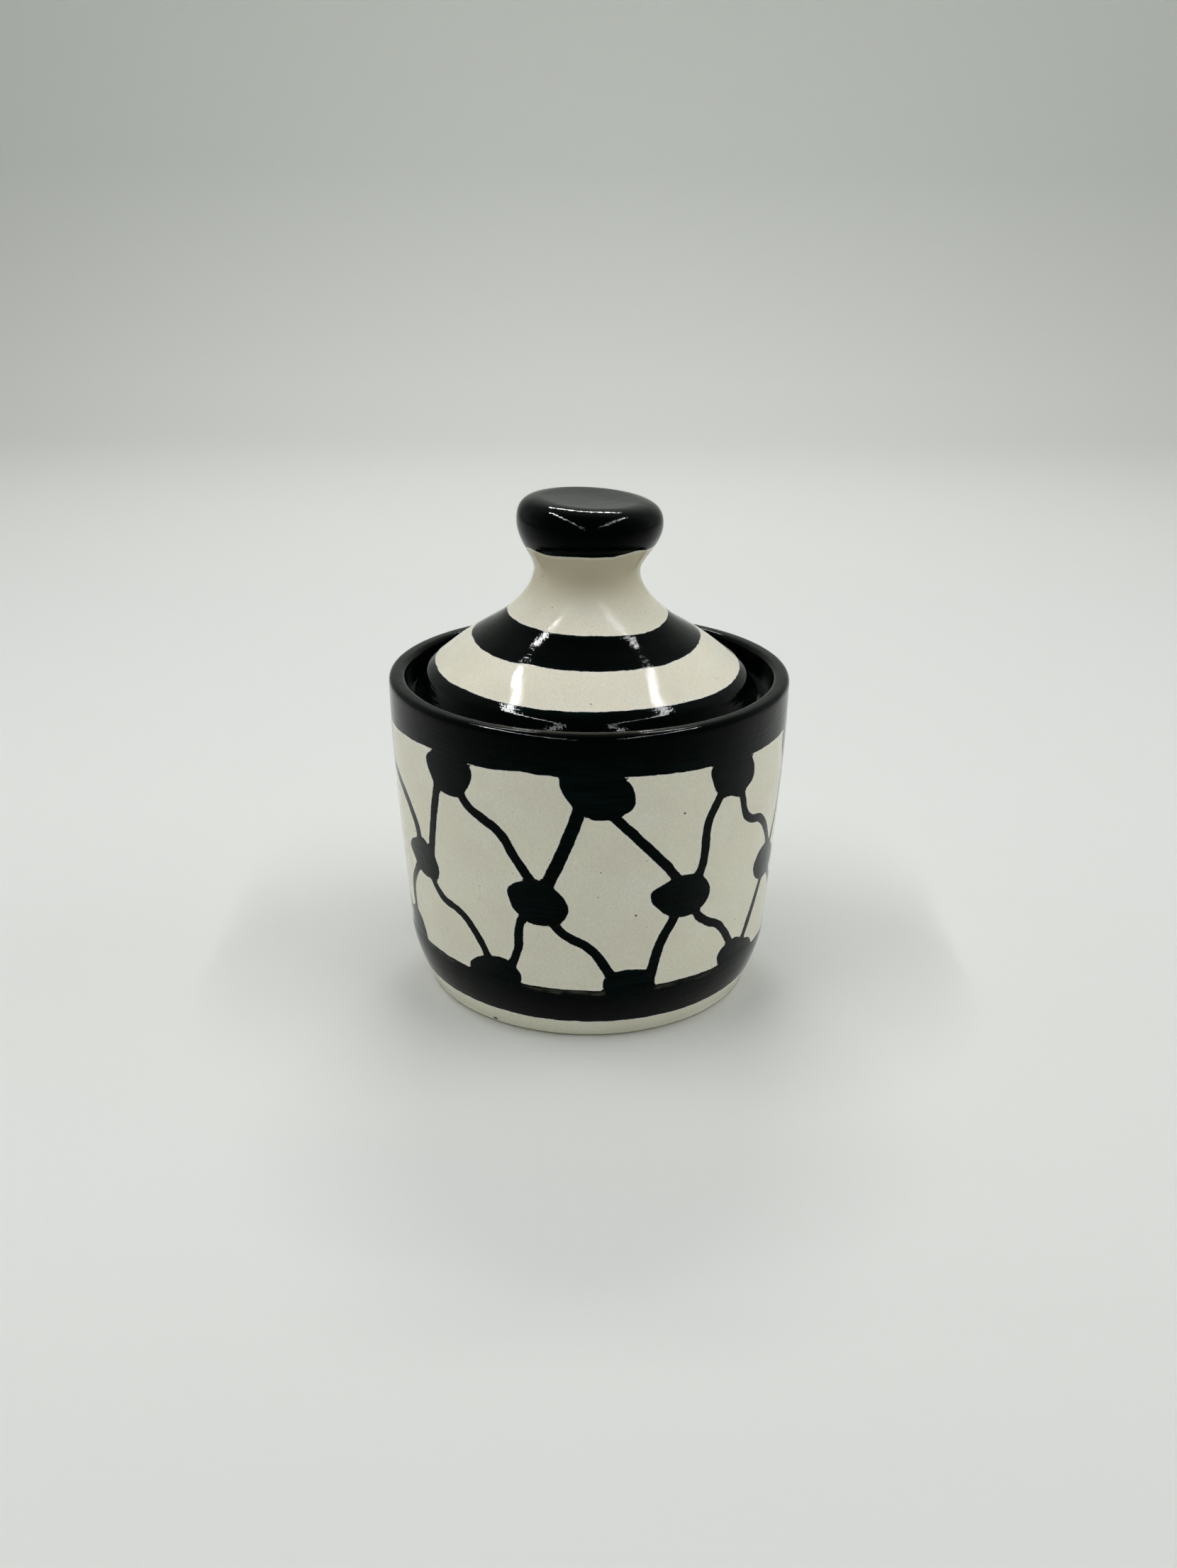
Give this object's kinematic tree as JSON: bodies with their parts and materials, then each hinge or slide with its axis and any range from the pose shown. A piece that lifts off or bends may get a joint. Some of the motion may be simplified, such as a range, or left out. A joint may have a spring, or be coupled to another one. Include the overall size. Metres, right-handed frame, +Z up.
{
  "type": "lidded pot",
  "caption": "Round lidded ceramic pot: slightly flared wall on a rounded heel, inner ledge in the mouth, and a conical drop-in lid with a waisted neck and round knob.",
  "frame": {"origin": "middle of the foot ring, on the table", "axes": "+Z up along the pot's axis, through the lid's knob; -Y is the side that the picture shows"},
  "size_m": [0.085, 0.085, 0.1063],
  "materials": {
    "painted_glaze": "cream-white glossy glaze over pale clay, brush-painted in black"
  },
  "bodies": {
    "pot": {"pot": "painted_glaze"},
    "lid": {"lid": "painted_glaze"}
  },
  "joints": [
    {"name": "lid_lift", "type": "slide", "parent": "pot", "child": "lid", "axis": [0, 0, 1], "range_m": [0, 0.06]}
  ]
}
